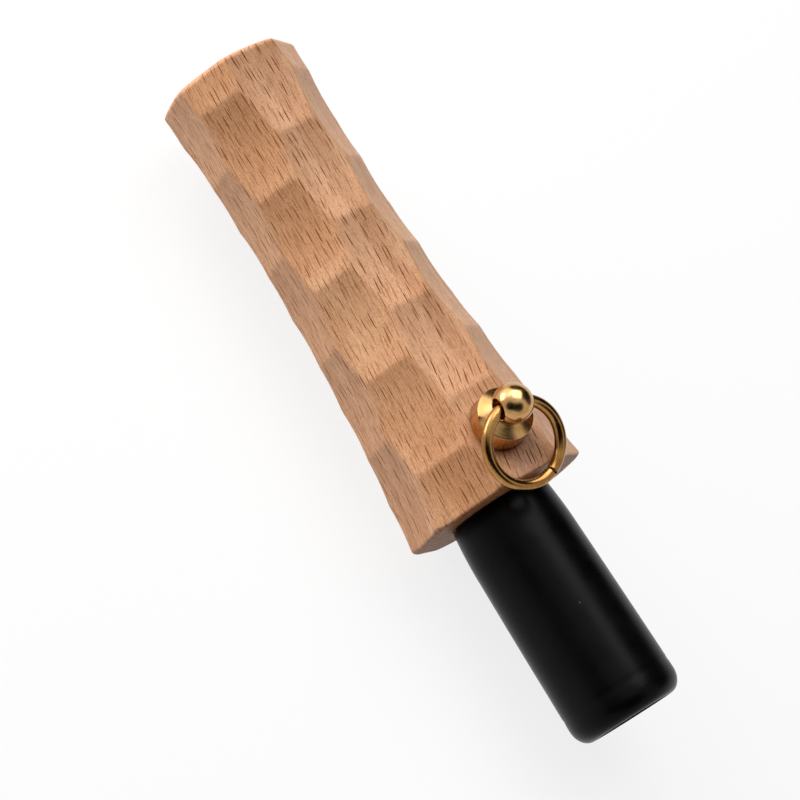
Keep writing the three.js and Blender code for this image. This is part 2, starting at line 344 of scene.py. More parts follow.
def new_material(name):
    material = bpy.data.materials.new(name)
    material.use_nodes = True
    tree = material.node_tree
    shader = next(n for n in tree.nodes if n.type == "BSDF_PRINCIPLED")
    coordinates = add(tree, "ShaderNodeTexCoord").outputs["Object"]
    return material, tree, shader, coordinates


# The grain runs along the bore, turned a little in plan. The flecks are flat, and their flat sides
# look the way that two opposite rows of scoops do
grain_turn = (-45, 0, 2.5)
fleck_facing = (0, math.sqrt(0.5), math.sqrt(0.5))
# Two layers of flecks in mm: cell size, half size, the cells' shift, and the layer's strength
fleck_layers = (
    ((4.2, 1.1, 4.2), (2.0, 0.1, 3.4), (0.0, 0.0, 0.0), 1),
    ((3.4, 0.9, 3.4), (1.4, 0.08, 2.6), (0.5, 0.3, 0.7), 0.6),
)
fleck_colour = "#6c350f"
# The end grain drinks the oil, which leaves it darker
end_grain_tint = "#efdccd"


def beech_flecks(tree, grain):
    """How strongly each spot is a fleck: a flat oval in each cell, some of them fainter."""
    flecks = 0
    for spacing, half, shift, most in fleck_layers:
        scaled = add(tree, "ShaderNodeVectorMath", {0: grain, 1: cells(*spacing)}, operation="MULTIPLY")
        shifted = add(tree, "ShaderNodeVectorMath", {0: scaled, 1: shift}, operation="ADD")
        voronoi = add(tree, "ShaderNodeTexVoronoi", {"Vector": shifted, "Scale": 1, "Randomness": 0.75})
        middle = voronoi.outputs["Position"]
        away = add(tree, "ShaderNodeVectorMath", {0: shifted, 1: middle}, operation="SUBTRACT")
        to_half = tuple(whole / part for whole, part in zip(spacing, half))
        shares = add(tree, "ShaderNodeVectorMath", {0: away, 1: to_half}, operation="MULTIPLY")
        reach = add(tree, "ShaderNodeVectorMath", {0: shares}, operation="LENGTH")
        inside = add(
            tree,
            "ShaderNodeMapRange",
            {"Value": reach, "From Min": 1.05, "From Max": 0.6, "To Min": 0, "To Max": most},
            interpolation_type="SMOOTHSTEP",
        )
        luck = add(tree, "ShaderNodeSeparateColor", {0: voronoi.outputs["Color"]})
        strength = add(
            tree,
            "ShaderNodeMapRange",
            {"Value": luck, "From Min": 0, "From Max": 0.7, "To Min": 0.35, "To Max": 1},
        )
        layer = add(tree, "ShaderNodeMath", {0: inside, 1: strength}, operation="MULTIPLY")
        flecks = add(tree, "ShaderNodeMath", {0: flecks, 1: layer}, operation="MAXIMUM")
    # On those two rows the flecks would be broad patches, so they hardly show there
    normal = add(tree, "ShaderNodeTexCoord").outputs["Normal"]
    facing = add(tree, "ShaderNodeVectorMath", {0: normal, 1: fleck_facing}, operation="DOT_PRODUCT")
    flat_on = add(tree, "ShaderNodeMath", {0: facing}, operation="ABSOLUTE")
    shown = add(
        tree,
        "ShaderNodeMapRange",
        {"Value": flat_on, "From Min": 0.97, "From Max": 0.74, "To Min": 0.12, "To Max": 1},
    )
    return add(tree, "ShaderNodeMath", {0: flecks, 1: shown}, operation="MULTIPLY")


def oiled_beech():
    """Beech, carved and oiled: broad soft sheens on a warm tan, with short dark flecks along it."""
    material, tree, shader, coordinates = new_material("oiled_beech")
    turn = tuple(math.radians(angle) for angle in grain_turn)
    turned = add(tree, "ShaderNodeMapping", {"Vector": coordinates, "Rotation": turn})
    # The grain wanders by up to 1 mm along the bore and 0.6 mm across it, over some 17 mm
    wander = add(tree, "ShaderNodeTexNoise", {"Vector": turned, "Scale": cell(17), "Detail": 2})
    wander = wander.outputs["Color"]
    offset = add(tree, "ShaderNodeVectorMath", {0: wander, 1: (0.5, 0.5, 0.5)}, operation="SUBTRACT")
    reach = (2 * MM, 1.2 * MM, 1.2 * MM)
    drift = add(tree, "ShaderNodeVectorMath", {0: offset, 1: reach}, operation="MULTIPLY")
    grain = add(tree, "ShaderNodeVectorMath", {0: turned, 1: drift}, operation="ADD")

    # Growth rings: soft bands 3 mm apart that run on for 11 cm
    bands = add(tree, "ShaderNodeVectorMath", {0: grain, 1: cells(110, 14, 3)}, operation="MULTIPLY")
    rings = add(tree, "ShaderNodeTexNoise", {"Vector": bands, "Scale": 1, "Detail": 3, "Roughness": 0.55})
    ring_stops = ((0.32, "#bb8458"), (0.5, "#ca956b"), (0.7, "#d5a57c"))
    tone = add(tree, "ShaderNodeValToRGB", {0: rings}, stops=ring_stops)
    # Fibres: about 0.2 mm wide and 4 mm long
    thin = add(tree, "ShaderNodeVectorMath", {0: grain, 1: cells(3.8, 0.19, 0.19)}, operation="MULTIPLY")
    fibres = add(tree, "ShaderNodeTexNoise", {"Vector": thin, "Scale": 1, "Detail": 2, "Roughness": 0.6})
    fibre_tone = add(tree, "ShaderNodeValToRGB", {0: fibres}, stops=((0.3, "#d9d2cc"), (0.62, "#ffffff")))
    # Pores: real ones are 0.06 mm, drawn at 0.2 mm so that they show
    dots = add(tree, "ShaderNodeVectorMath", {0: grain, 1: cells(0.38, 0.19, 0.19)}, operation="MULTIPLY")
    pores = add(tree, "ShaderNodeTexNoise", {"Vector": dots, "Scale": 1, "Detail": 1})
    pore_tone = add(tree, "ShaderNodeValToRGB", {0: pores}, stops=((0.3, "#c9b6a6"), (0.52, "#ffffff")))
    for share, layer in ((0.8, fibre_tone), (0.6, pore_tone)):
        mixing = {"Factor": share, "A": tone, "B": layer}
        tone = add(tree, "ShaderNodeMix", mixing, data_type="RGBA", blend_type="MULTIPLY")
    fleck = beech_flecks(tree, grain)
    flecked = {"Factor": fleck, "A": tone, "B": srgb(fleck_colour)}
    tone = add(tree, "ShaderNodeMix", flecked, data_type="RGBA")
    # The end grain shows where the surface lies square to the bore
    normal = add(tree, "ShaderNodeTexCoord").outputs["Normal"]
    facing = add(tree, "ShaderNodeSeparateXYZ", {0: normal})
    square_on = add(tree, "ShaderNodeMath", {0: facing}, operation="ABSOLUTE")
    end_grain = add(tree, "ShaderNodeMapRange", {"Value": square_on, "From Min": 0.75, "From Max": 0.95})
    soaked = {"Factor": end_grain, "A": tone, "B": srgb(end_grain_tint)}
    base_colour = shader.inputs["Base Color"]
    add(tree, "ShaderNodeMix", soaked, to=base_colour, data_type="RGBA", blend_type="MULTIPLY")

    # The oil's gloss lies on the fibres, and not in the open flecks or on the end grain
    dry = add(tree, "ShaderNodeMath", {0: fleck, 1: end_grain}, operation="MAXIMUM")
    shine = {"Value": dry, "From Min": 0, "From Max": 1, "To Min": 0.5, "To Max": 0.1}
    add(tree, "ShaderNodeMapRange", shine, to=shader.inputs["Specular IOR Level"])
    satin = {"Value": fibres, "From Min": 0.2, "From Max": 0.8, "To Min": 0.54, "To Max": 0.42}
    add(tree, "ShaderNodeMapRange", satin, to=shader.inputs["Roughness"])
    # The flecks lie a little under the fibres, whose relief is 0.03 mm
    sunk = {0: fleck, 1: -0.3, 2: fibres}
    relief = add(tree, "ShaderNodeMath", sunk, operation="MULTIPLY_ADD")
    add(tree, "ShaderNodeBump", {"Height": relief, "Distance": 0.03 * MM}, to=shader.inputs["Normal"])
    return material


# Tones from dark to light, and the turn of the scratches in radians
stud_tones = ("#b88a50", "#cda06a", "#deb780")
stud_scratch_turn = (0, 0, 0)
ring_tones = ("#8f6436", "#ae814b", "#c2965c")
ring_scratch_turn = (0.4, 0.3, 0)


def polished_brass(name, tones, scratch_turn):
    """Brass polished by hand: a mirror with a soft edge, fine scratches and a slight tarnish."""
    material, tree, shader, coordinates = new_material(name)
    clouds = add(tree, "ShaderNodeTexNoise", {"Vector": coordinates, "Scale": cell(2.4), "Detail": 4})
    stops = tuple(zip((0.3, 0.55, 0.8), tones))
    add(tree, "ShaderNodeValToRGB", {0: clouds}, to=shader.inputs["Base Color"], stops=stops)
    shader.inputs["Metallic"].default_value = 1
    hazed = {"Value": clouds, "From Min": 0.3, "From Max": 0.7, "To Min": 0.15, "To Max": 0.25}
    add(tree, "ShaderNodeMapRange", hazed, to=shader.inputs["Roughness"])
    # Scratches 0.07 mm apart and 1.1 mm long, coarser than real ones so that they show, and small
    # dents twice as deep
    combed = {"Vector": coordinates, "Rotation": scratch_turn, "Scale": cells(1.1, 1.1, 0.07)}
    lines = add(tree, "ShaderNodeMapping", combed)
    scratches = add(tree, "ShaderNodeTexNoise", {"Vector": lines, "Scale": 1, "Detail": 2})
    dents = add(tree, "ShaderNodeTexNoise", {"Vector": coordinates, "Scale": cell(0.38), "Detail": 3})
    worn = add(tree, "ShaderNodeMath", {0: dents, 1: 2, 2: scratches}, operation="MULTIPLY_ADD")
    relief = {"Height": worn, "Distance": 0.006 * MM, "Strength": 0.8}
    add(tree, "ShaderNodeBump", relief, to=shader.inputs["Normal"])
    return material


def turned_black_plastic():
    """Black plastic, turned and buffed: long soft highlights, faint tool rings, a few dust specks."""
    material, tree, shader, coordinates = new_material("turned_black_plastic")
    haze = add(tree, "ShaderNodeTexNoise", {"Vector": coordinates, "Scale": cell(3.8), "Detail": 3})
    base = add(tree, "ShaderNodeValToRGB", {0: haze}, stops=((0.3, "#060607"), (0.7, "#0a0a0b")))
    # Dust: one cell of 3 mm in fourteen holds a speck of some 0.3 mm
    dust = add(tree, "ShaderNodeTexVoronoi", {"Vector": coordinates, "Scale": cell(3)})
    near = {"Value": dust, "From Min": 0.075, "From Max": 0.03, "To Min": 0, "To Max": 1}
    speck = add(tree, "ShaderNodeMapRange", near)
    luck = add(tree, "ShaderNodeSeparateColor", {0: dust.outputs["Color"]})
    rare = add(tree, "ShaderNodeMath", {0: luck, 1: 0.93}, operation="GREATER_THAN")
    shown = add(tree, "ShaderNodeMath", {0: speck, 1: rare}, operation="MULTIPLY")
    dusty = {"Factor": shown, "A": base, "B": srgb("#55534f")}
    add(tree, "ShaderNodeMix", dusty, to=shader.inputs["Base Color"], data_type="RGBA")
    buffed = {"Value": haze, "From Min": 0.3, "From Max": 0.7, "To Min": 0.26, "To Max": 0.32}
    add(tree, "ShaderNodeMapRange", buffed, to=shader.inputs["Roughness"])
    shader.inputs["Specular IOR Level"].default_value = 0.08
    # Tool rings 0.15 mm apart round the bore's axis
    turning = add(tree, "ShaderNodeMapping", {"Vector": coordinates, "Scale": cells(0.15, 8, 8)})
    tool = add(tree, "ShaderNodeTexNoise", {"Vector": turning, "Scale": 1, "Detail": 2})
    relief = {"Height": tool, "Distance": 0.005 * MM, "Strength": 0.5}
    add(tree, "ShaderNodeBump", relief, to=shader.inputs["Normal"])
    return material


def nitrile_rubber():
    """Moulded nitrile seal: matt black, with a faint grey bloom that shows its round section."""
    material, tree, shader, coordinates = new_material("nitrile_rubber")
    bloom = add(tree, "ShaderNodeTexNoise", {"Vector": coordinates, "Scale": cell(1.1), "Detail": 4})
    stops = ((0.3, "#19191a"), (0.75, "#2a2a2b"))
    add(tree, "ShaderNodeValToRGB", {0: bloom}, to=shader.inputs["Base Color"], stops=stops)
    shader.inputs["Roughness"].default_value = 0.72
    relief = {"Height": bloom, "Distance": 0.01 * MM, "Strength": 0.5}
    add(tree, "ShaderNodeBump", relief, to=shader.inputs["Normal"])
    return material


def smoked_acrylic():
    """Moulded smoked acrylic: dark brown gloss, with flow marks that bend its highlights a little."""
    material, tree, shader, coordinates = new_material("smoked_acrylic")
    flow = add(tree, "ShaderNodeMapping", {"Vector": coordinates, "Scale": cells(11, 2, 2)})
    marks = add(tree, "ShaderNodeTexNoise", {"Vector": flow, "Scale": 1, "Detail": 3})
    stops = ((0.3, "#2b201a"), (0.7, "#3e3026"))
    add(tree, "ShaderNodeValToRGB", {0: marks}, to=shader.inputs["Base Color"], stops=stops)
    gloss = {"Value": marks, "From Min": 0.3, "From Max": 0.7, "To Min": 0.14, "To Max": 0.24}
    add(tree, "ShaderNodeMapRange", gloss, to=shader.inputs["Roughness"])
    relief = {"Height": marks, "Distance": 0.02 * MM, "Strength": 0.3}
    add(tree, "ShaderNodeBump", relief, to=shader.inputs["Normal"])
    return material


def reed_film():
    """Cut polyester film: milky satin, with faint lines along it where it was drawn."""
    material, tree, shader, coordinates = new_material("reed_film")
    drawn = add(tree, "ShaderNodeMapping", {"Vector": coordinates, "Scale": cells(8, 0.17, 0.17)})
    lines = add(tree, "ShaderNodeTexNoise", {"Vector": drawn, "Scale": 1, "Detail": 2})
    stops = ((0.3, "#d8d3c3"), (0.7, "#ebe7da"))
    add(tree, "ShaderNodeValToRGB", {0: lines}, to=shader.inputs["Base Color"], stops=stops)
    shader.inputs["Roughness"].default_value = 0.34
    relief = {"Height": lines, "Distance": 0.006 * MM, "Strength": 0.4}
    add(tree, "ShaderNodeBump", relief, to=shader.inputs["Normal"])
    return material


def cut_cork():
    """Natural cork, cut: dry and matt, with tan grains and darker pits between them."""
    material, tree, shader, coordinates = new_material("cut_cork")
    grains = add(tree, "ShaderNodeTexVoronoi", {"Vector": coordinates, "Scale": cell(0.77)})
    stops = ((0.0, "#c49a68"), (0.6, "#b2834f"), (0.95, "#7c5430"))
    tone = add(tree, "ShaderNodeValToRGB", {0: grains}, stops=stops)
    spots = add(tree, "ShaderNodeTexNoise", {"Vector": coordinates, "Scale": cell(1.4), "Detail": 3})
    dark = add(tree, "ShaderNodeMapRange", {"Value": spots, "From Min": 0.58, "From Max": 0.68})
    pitted = {"Factor": dark, "A": tone, "B": srgb("#6b4424")}
    add(tree, "ShaderNodeMix", pitted, to=shader.inputs["Base Color"], data_type="RGBA")
    shader.inputs["Roughness"].default_value = 0.88
    relief = {"Height": grains, "Distance": 0.06 * MM, "Strength": 0.6}
    add(tree, "ShaderNodeBump", relief, to=shader.inputs["Normal"], invert=True)
    return material


def turned_steel():
    """Plated steel screw: bright grey, with turning marks that break its highlights up."""
    material, tree, shader, coordinates = new_material("turned_steel")
    marks = add(tree, "ShaderNodeTexNoise", {"Vector": coordinates, "Scale": cell(0.42), "Detail": 3})
    stops = ((0.3, "#8c8e90"), (0.7, "#b3b5b7"))
    add(tree, "ShaderNodeValToRGB", {0: marks}, to=shader.inputs["Base Color"], stops=stops)
    shader.inputs["Metallic"].default_value = 1
    shader.inputs["Roughness"].default_value = 0.33
    relief = {"Height": marks, "Distance": 0.006 * MM, "Strength": 0.6}
    add(tree, "ShaderNodeBump", relief, to=shader.inputs["Normal"])
    return material


# Barrel


def barrel_stations():
    """The barrel's closed outline: (x, radius, share of the scooped surface, inset below it)."""
    far = -barrel_length
    lead_in = socket_radius + socket_lead_in
    shares = [i / curve_steps for i in range(curve_steps)]
    turns = [math.pi / 2 * i / bevel_steps for i in range(bevel_steps + 1)]
    stations = [(0, lead_in, share, mouth_end_rounding) for share in shares]
    for turn in turns:
        x = -mouth_end_rounding * (1 - math.cos(turn))
        stations.append((x, lead_in, 1, mouth_end_rounding * (1 - math.sin(turn))))
    side = line((-mouth_end_rounding, lead_in), (far + far_end_rounding, lead_in), barrel_steps)
    stations += [(x, radius, 1, 0) for x, radius in side[:-1]]
    for turn in turns:
        x = far + far_end_rounding * (1 - math.sin(turn))
        stations.append((x, lead_in, 1, far_end_rounding * (1 - math.cos(turn))))
    lip_middle = (far + bell_lip_rounding, bell_radius + bell_lip_rounding)
    stations += [(far, lip_middle[1], 1 - share, far_end_rounding) for share in shares[1:]]
    lip = arc(lip_middle, bell_lip_rounding, -180, bell_lip_turn - 180, bevel_steps)
    bell_end = (far + bell_length, chamber_radius)
    bell = curve(lip[-1], (far + bell_curve_place, chamber_radius), bell_end, curve_steps)
    chamber = line(bell_end, (-socket_depth, chamber_radius), curve_steps)
    shoulder = (-socket_depth, socket_radius)
    socket = line(shoulder, (-socket_lead_in, socket_radius), curve_steps)
    inside = lip + bell + chamber + [shoulder] + socket
    return stations + [(x, radius, 0, 0) for x, radius in inside]


def barrel_blank():
    """A turned blank whose points carry how far they follow the scoops."""
    mesh = bmesh.new()
    share_layer = mesh.verts.layers.float.new("scoop_share")
    inset_layer = mesh.verts.layers.float.new("scoop_inset")
    rings = []
    for x, radius, share, inset in barrel_stations():
        ring = []
        for i in range(barrel_segments):
            turn = 2 * math.pi * i / barrel_segments
            vert = mesh.verts.new((x, -radius * math.sin(turn), radius * math.cos(turn)))
            vert[share_layer] = share
            vert[inset_layer] = inset
            ring.append(vert)
        rings.append(ring)
    for first, second in zip(rings, rings[1:] + rings[:1]):
        for i in range(barrel_segments):
            j = (i + 1) % barrel_segments
            mesh.faces.new((first[i], first[j], second[j], second[i]))
    return mesh_object("beech_barrel", mesh)


def ridge_height(tree, size, where):
    """Height of the ridges at a place along the bore: two parabolas that meet at the waist."""
    offset = add(tree, "ShaderNodeMath", {0: where, 1: size["Waist place"]}, operation="SUBTRACT")
    mouth_reach = add(tree, "ShaderNodeMath", {0: 0, 1: size["Waist place"]}, operation="SUBTRACT")
    far_reach = add(tree, "ShaderNodeMath", {0: size["Length"], 1: size["Waist place"]}, operation="ADD")
    sides = (
        ("MAXIMUM", mouth_reach, size["Mouth end radius"]),
        ("MINIMUM", far_reach, size["Far end radius"]),
    )
    height = size["Waist radius"]
    for keep, reach, end_radius in sides:
        part = add(tree, "ShaderNodeMath", {0: offset, 1: 0}, operation=keep)
        share = add(tree, "ShaderNodeMath", {0: part, 1: reach}, operation="DIVIDE")
        square = add(tree, "ShaderNodeMath", {0: share, 1: share}, operation="MULTIPLY")
        swell = add(tree, "ShaderNodeMath", {0: end_radius, 1: size["Waist radius"]}, operation="SUBTRACT")
        height = add(tree, "ShaderNodeMath", {0: square, 1: swell, 2: height}, operation="MULTIPLY_ADD")
    return height


def scoop_height(tree, size, along, near_ridge, near_height, far_height):
    """A chord between two ridges with the scoop's hollow taken out of it."""
    away = add(tree, "ShaderNodeMath", {0: near_ridge, 1: along}, operation="SUBTRACT")
    share = add(tree, "ShaderNodeMath", {0: away, 1: size["Scoop pitch"]}, operation="DIVIDE")
    rest = add(tree, "ShaderNodeMath", {0: 1, 1: share}, operation="SUBTRACT")
    near_part = add(tree, "ShaderNodeMath", {0: near_height, 1: rest}, operation="MULTIPLY")
    chord = add(tree, "ShaderNodeMath", {0: far_height, 1: share, 2: near_part}, operation="MULTIPLY_ADD")
    # The bow is a quarter at the scoop's middle, where the hollow is deepest
    bow = add(tree, "ShaderNodeMath", {0: share, 1: rest}, operation="MULTIPLY")
    deepest = add(tree, "ShaderNodeMath", {0: size["Scoop depth"], 1: -4}, operation="MULTIPLY")
    return add(tree, "ShaderNodeMath", {0: bow, 1: deepest, 2: chord}, operation="MULTIPLY_ADD")


def row_height(tree, size, along, first_ridge):
    """The scoop over a place and the two beside it, blended softly at their ridges."""
    pitch = size["Scoop pitch"]
    away = add(tree, "ShaderNodeMath", {0: first_ridge, 1: along}, operation="SUBTRACT")
    pitches = add(tree, "ShaderNodeMath", {0: away, 1: pitch}, operation="DIVIDE")
    whole = add(tree, "ShaderNodeMath", {0: pitches}, operation="FLOOR")
    back = add(tree, "ShaderNodeMath", {0: whole, 1: pitch}, operation="MULTIPLY")
    near = add(tree, "ShaderNodeMath", {0: first_ridge, 1: back}, operation="SUBTRACT")
    # Two ridges on the mouth end's side of the place, then two on the far end's
    ridges = []
    for shift in (1, 0, -1, -2):
        ridges.append(add(tree, "ShaderNodeMath", {0: pitch, 1: shift, 2: near}, operation="MULTIPLY_ADD"))
    heights = [ridge_height(tree, size, ridge) for ridge in ridges]
    blend = scoop_height(tree, size, along, ridges[0], heights[0], heights[1])
    for i in (1, 2):
        scoop = scoop_height(tree, size, along, ridges[i], heights[i], heights[i + 1])
        joined = {0: blend, 1: scoop, 2: size["Ridge softness"]}
        blend = add(tree, "ShaderNodeMath", joined, operation="SMOOTH_MIN")
    return blend


def scooped_radius(tree, size, along, turn):
    """Distance of the carved surface from the bore's axis, at a place and a turn round the bore."""
    row_angle = add(tree, "ShaderNodeMath", {0: 2 * math.pi, 1: size["Rows"]}, operation="DIVIDE")
    rows_round = add(tree, "ShaderNodeMath", {0: turn, 1: row_angle}, operation="DIVIDE")
    nearest = add(tree, "ShaderNodeMath", {0: rows_round}, operation="ROUND")
    odd_shift = {0: size["Odd ridge"], 1: size["Even ridge"]}
    odd_shift = add(tree, "ShaderNodeMath", odd_shift, operation="SUBTRACT")
    limits = []
    for neighbour in (-1, 0, 1):
        row = add(tree, "ShaderNodeMath", {0: nearest, 1: neighbour}, operation="ADD")
        odd = add(tree, "ShaderNodeMath", {0: row, 1: 2}, operation="FLOORED_MODULO")
        ridge = {0: odd, 1: odd_shift, 2: size["Even ridge"]}
        ridge = add(tree, "ShaderNodeMath", ridge, operation="MULTIPLY_ADD")
        height = row_height(tree, size, along, ridge)
        middle = add(tree, "ShaderNodeMath", {0: row, 1: row_angle}, operation="MULTIPLY")
        lean = add(tree, "ShaderNodeMath", {0: turn, 1: middle}, operation="SUBTRACT")
        slant = add(tree, "ShaderNodeMath", {0: lean}, operation="COSINE")
        limits.append(add(tree, "ShaderNodeMath", {0: height, 1: slant}, operation="DIVIDE"))
    # The blank's turned ends take the points off the corners
    half_row = add(tree, "ShaderNodeMath", {0: row_angle, 1: 2}, operation="DIVIDE")
    corner = add(tree, "ShaderNodeMath", {0: half_row}, operation="COSINE")
    to_far = add(tree, "ShaderNodeMath", {0: along, 1: size["Length"]}, operation="ADD")
    to_mouth = add(tree, "ShaderNodeMath", {0: 0, 1: along}, operation="SUBTRACT")
    for inward, radius in ((to_mouth, size["Mouth end radius"]), (to_far, size["Far end radius"])):
        point = add(tree, "ShaderNodeMath", {0: radius, 1: corner}, operation="DIVIDE")
        eased = add(tree, "ShaderNodeMath", {0: point, 1: size["Corner ease"]}, operation="SUBTRACT")
        limits.append(add(tree, "ShaderNodeMath", {0: eased, 1: inward}, operation="ADD"))
    surface = limits[0]
    for limit in limits[1:]:
        joined = {0: surface, 1: limit, 2: size["Corner softness"]}
        surface = add(tree, "ShaderNodeMath", joined, operation="SMOOTH_MIN")
    return surface


def scooping(material):
    """Geometry nodes that carve the staggered rows of scoops into a turned blank."""
    sizes = {
        "Rows": row_count,
        "Scoop pitch": scoop_pitch,
        "Scoop depth": scoop_depth,
        "Even ridge": stud_row_ridge,
        "Odd ridge": next_row_ridge,
        "Waist place": waist_place,
        "Waist radius": waist_radius,
        "Mouth end radius": mouth_end_radius,
        "Far end radius": far_end_radius,
        "Length": barrel_length,
        "Ridge softness": ridge_softness,
        "Corner softness": corner_softness,
        "Corner ease": corner_ease,
    }
    tree, start = rule_tree("Scooped facets", sizes)
    spot = add(tree, "ShaderNodeSeparateXYZ", {0: add(tree, "GeometryNodeInputPosition")})
    along, across, up = spot.outputs
    other_way = add(tree, "ShaderNodeMath", {0: 0, 1: across}, operation="SUBTRACT")
    turn = add(tree, "ShaderNodeMath", {0: other_way, 1: up}, operation="ARCTAN2")
    surface = scooped_radius(tree, start.outputs, along, turn)

    share = add(tree, "GeometryNodeInputNamedAttribute", {"Name": "scoop_share"}, data_type="FLOAT")
    inset = add(tree, "GeometryNodeInputNamedAttribute", {"Name": "scoop_inset"}, data_type="FLOAT")
    flat = add(tree, "ShaderNodeCombineXYZ", {1: across, 2: up})
    inner = add(tree, "ShaderNodeVectorMath", {0: flat}, operation="LENGTH")
    outer = add(tree, "ShaderNodeMath", {0: surface, 1: inset}, operation="SUBTRACT")
    wall = add(tree, "ShaderNodeMath", {0: outer, 1: inner}, operation="SUBTRACT")
    grown = add(tree, "ShaderNodeMath", {0: wall, 1: share, 2: inner}, operation="MULTIPLY_ADD")
    factor = add(tree, "ShaderNodeMath", {0: grown, 1: inner}, operation="DIVIDE")
    spread = add(tree, "ShaderNodeVectorMath", {0: flat, "Scale": factor}, operation="SCALE")
    placed = add(tree, "ShaderNodeCombineXYZ", {0: along})
    moved = add(tree, "ShaderNodeVectorMath", {0: spread, 1: placed}, operation="ADD")
    blank = start.outputs["Geometry"]
    carved = add(tree, "GeometryNodeSetPosition", {"Geometry": blank, "Position": moved})
    close_tree(tree, carved, material)
    return tree, sizes


def ridge_height_at(x):
    """The same height of the ridges as the nodes work out, for the stud's seat."""
    end = mouth_end_radius if x > waist_place else far_end_radius
    reach = -waist_place if x > waist_place else barrel_length + waist_place
    return waist_radius + (end - waist_radius) * ((x - waist_place) / reach) ** 2


def stud_foot_height():
    """Height of the scoop under the stud above the bore's axis."""
    near = stud_row_ridge + scoop_pitch
    share = (near - stud_place) / scoop_pitch
    chord = ridge_height_at(near) * (1 - share) + ridge_height_at(stud_row_ridge) * share
    return chord - 4 * scoop_depth * share * (1 - share)


stud_frame = Matrix.Translation((stud_place, 0, stud_foot_height()))
stud_frame = stud_frame @ Matrix.Rotation(math.radians(-stud_tilt), 4, "Y")


def on_stud(name, outline, segments):
    """A solid turned about the stud's axis from (height above the foot, radius) points."""
    made = mesh_object(name, spun(outline, segments))
    made.data.transform(stud_frame @ Matrix.Rotation(math.radians(-90), 4, "Y"))
    return made


def make_barrel(material):
    made = barrel_blank()
    tree, sizes = scooping(material)
    apply_tree(made, tree, sizes)
    deep = -stud_foot_height()
    seat_radius = stud_base_radius + seat_gap
    seat = [(deep, 0), (deep, screw_pocket_radius), (screw_pocket_floor, screw_pocket_radius)]
    seat += [(screw_pocket_floor, screw_hole_radius), (0, screw_hole_radius)]
    seat += [(0, seat_radius), (stud_base_height, seat_radius), (stud_base_height, 0)]
    cut(made, on_stud("seat_cutter", seat, cutter_segments))
    smooth(made, barrel_sharp_angle)
    place(made, material, "barrel", "beech", "barrel")


# Mouthpiece


def tube_outline():
    """The tube's closed outline as (x, radius) points, from the tenon's inner end to the lip."""
    inner = -tenon_length
    points = [(inner, tube_bore_radius), (inner, tenon_radius - tenon_bevel)]
    points += [(inner + tenon_bevel, tenon_radius)]
    for seal in reversed(seal_places):
        near, far = seal - groove_half_width, seal + groove_half_width
        points += [(near, tenon_radius), (near, groove_floor_radius)]
        points += [(far, groove_floor_radius), (far, tenon_radius)]
    points += [(seat_gap, tenon_radius)]
    neck_middle = (seat_gap + tube_neck_rounding, tube_neck_radius - tube_neck_rounding)
    neck = arc(neck_middle, tube_neck_rounding, 180, 90, bevel_steps)
    shoulder = (tube_shoulder_length, tube_shoulder_radius)
    points += neck + curve(neck[-1], (shoulder_curve_place, tube_shoulder_radius), shoulder, curve_steps)
    bulge = (tube_length - lip_rounding, lip_bulge_radius)
    body_control = (body_curve_place, (tube_shoulder_radius + lip_bulge_radius) / 2)
    for x, radius in curve(shoulder, body_control, bulge, tube_steps):
        away = (x - lip_line_place) / lip_line_width
        points.append((x, radius - lip_line_depth * math.exp(-away * away)))
    crown = lip_opening_radius + lip_inner_ease
    for i in range(1, curve_steps + 1):
        angle = math.radians(90 - 90 * i / curve_steps)
        across = crown + (lip_bulge_radius - crown) * math.sin(angle)
        points.append((bulge[0] + lip_rounding * math.cos(angle), across))
    opening = (tube_length - lip_inner_ease, lip_opening_radius)
    points += curve(points[-1], (tube_length, lip_opening_radius), opening, bevel_steps)
    points += line(opening, (tube_length - lip_funnel_length, tube_bore_radius), curve_steps)
    points += line(points[-1], (inner, tube_bore_radius), curve_steps)[:-1]
    return points


def make_mouthpiece(material):
    made = mesh_object("black_tube", spun(tube_outline(), tube_segments))
    smooth(made, tube_sharp_angle)
    place(made, material, "mouthpiece", "black_tube", "mouthpiece")


# Stud and ring


def stud_outline():
    """The stud's outline as (height above the foot, radius) points."""
    round_radius = ball_radius - ball_inset
    drop = math.sqrt(round_radius**2 - stud_neck_radius**2)
    ball_start = math.degrees(math.atan2(stud_neck_radius, -drop))
    rise = stud_cone_top - stud_base_height
    cone_facing = math.degrees(math.atan2(rise, stud_base_radius - stud_neck_radius))
    rim_middle = (stud_base_height - stud_rim_bevel, stud_base_radius - stud_rim_bevel)
    points = [(seat_gap, 0), (seat_gap, stud_base_radius - stud_foot_bevel)]
    points += [(seat_gap + stud_foot_bevel, stud_base_radius)]
    points += arc(rim_middle, stud_rim_bevel, 90, cone_facing, bevel_steps)
    points += line(points[-1], (stud_cone_top, stud_neck_radius), curve_steps)
    points += arc((ball_height, 0), round_radius, ball_start, 0, ball_steps)
    return points


hole_frame = stud_frame @ Matrix.Translation((0, 0, ring_hole_height))
hole_frame = hole_frame @ Matrix.Rotation(math.radians(-ring_hole_yaw), 4, "Z")
# Half the length of the ring's hole, from the ball's middle to the hole's mouth
ring_hole_reach = math.sqrt(ball_radius**2 - ring_hole_radius**2)


def ring_hole_cutter():
    """A rod that widens at 45 degrees from a little inside the hole's mouths."""
    flare_start = ring_hole_reach - ring_hole_flare
    end = ball_radius + cutter_overshoot
    wide = ring_hole_radius + end - flare_start
    outline = [(-end, 0), (-end, wide), (-flare_start, ring_hole_radius)]
    outline += [(flare_start, ring_hole_radius), (end, wide), (end, 0)]
    made = mesh_object("ring_hole_cutter", spun(outline, cutter_segments))
    made.data.transform(hole_frame @ Matrix.Rotation(math.radians(90), 4, "Z"))
    return made


